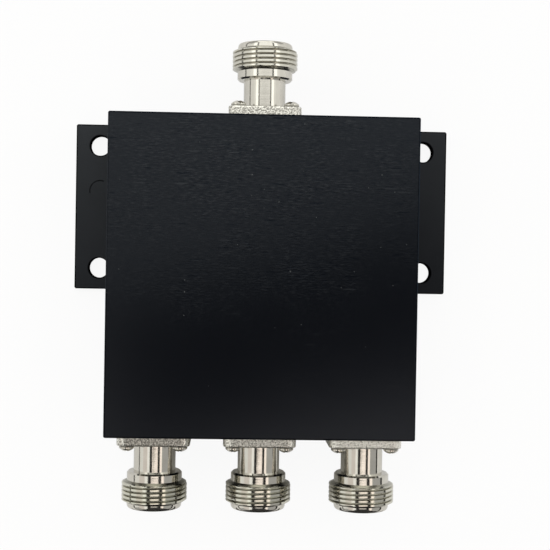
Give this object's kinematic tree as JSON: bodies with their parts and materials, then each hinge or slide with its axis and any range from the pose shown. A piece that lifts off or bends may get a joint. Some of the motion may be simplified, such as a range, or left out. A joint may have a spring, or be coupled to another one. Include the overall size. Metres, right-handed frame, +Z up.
{
  "type": "rf power splitter",
  "caption": "Flat black metal box on an eared base plate, with a threaded coaxial input socket at one end and output sockets at the other, that shares one radio signal among the outputs.",
  "frame": {"origin": "centre of the part's box at the underside of the base plate", "axes": "+X to the right seen from above with the input at the top, +Y towards the input socket, +Z up from the base plate to the closed face of the housing"},
  "size_m": [0.0936, 0.1134, 0.022],
  "materials": {
    "black_paint": "satin black coating on milled aluminium",
    "nickel": "nickel plated brass",
    "ptfe": "white fluoropolymer",
    "gold": "gold plated",
    "plain_steel": "plated steel",
    "black_steel": "blackened steel",
    "board": "glass fibre laminate",
    "copper": "copper foil",
    "resistor": "ceramic chip"
  },
  "bodies": {
    "root": {"housing": "black_paint", "base_plate": "black_paint", "cover_screws": "black_steel", "circuit_board": "board", "copper_lines": "copper", "isolation_resistors": "resistor", "board_screws": "plain_steel", "input_shell": "nickel", "input_insulator": "ptfe", "input_contact": "gold", "input_flange_screws": "plain_steel", "left_output_shell": "nickel", "left_output_insulator": "ptfe", "left_output_contact": "gold", "left_output_flange_screws": "plain_steel", "middle_output_shell": "nickel", "middle_output_insulator": "ptfe", "middle_output_contact": "gold", "middle_output_flange_screws": "plain_steel", "right_output_shell": "nickel", "right_output_insulator": "ptfe", "right_output_contact": "gold", "right_output_flange_screws": "plain_steel"}
  },
  "joints": []
}
